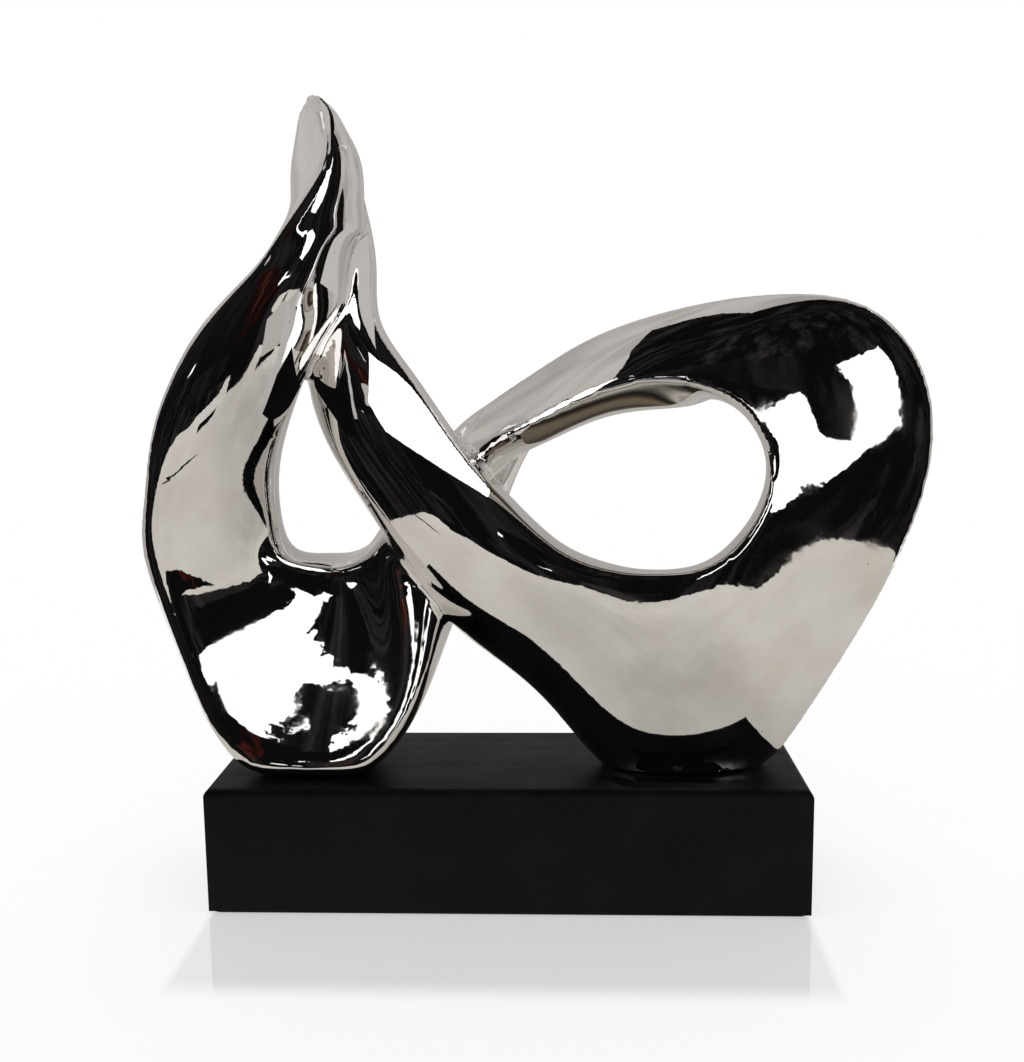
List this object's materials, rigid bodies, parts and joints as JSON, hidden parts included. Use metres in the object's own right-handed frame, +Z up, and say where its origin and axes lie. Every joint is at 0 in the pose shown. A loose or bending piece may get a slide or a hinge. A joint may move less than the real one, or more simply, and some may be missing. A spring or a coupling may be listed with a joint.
{
  "type": "infinity sculpture",
  "caption": "Mirror-glazed ceramic band sculpture, a twisting figure eight with a raised horn, standing on two feet on a black wooden block.",
  "frame": {"origin": "middle of the felt's underside, where the sculpture rests on the table", "axes": "+X to the right along the base, +Y from the front to the back, +Z up"},
  "size_m": [0.3891, 0.1215, 0.4001],
  "materials": {
    "mirror_glaze": "mirror platinum lustre",
    "black_paint": "satin black paint",
    "felt": "matte felt",
    "pad_sheet": "matte thin sheet",
    "plaster": "matte cast plaster",
    "zinc_steel": "satin zinc plate"
  },
  "bodies": {
    "root": {"ceramic_body": "mirror_glaze", "base_block": "black_paint", "felt_sheet": "felt", "foot_pad_left": "pad_sheet", "anchor_plug_left": "plaster", "anchor_nut_left": "zinc_steel", "mounting_bolt_left": "zinc_steel", "bolt_washer_left": "zinc_steel", "foot_pad_right": "pad_sheet", "anchor_plug_right": "plaster", "anchor_nut_right": "zinc_steel", "mounting_bolt_right": "zinc_steel", "bolt_washer_right": "zinc_steel"}
  },
  "joints": []
}
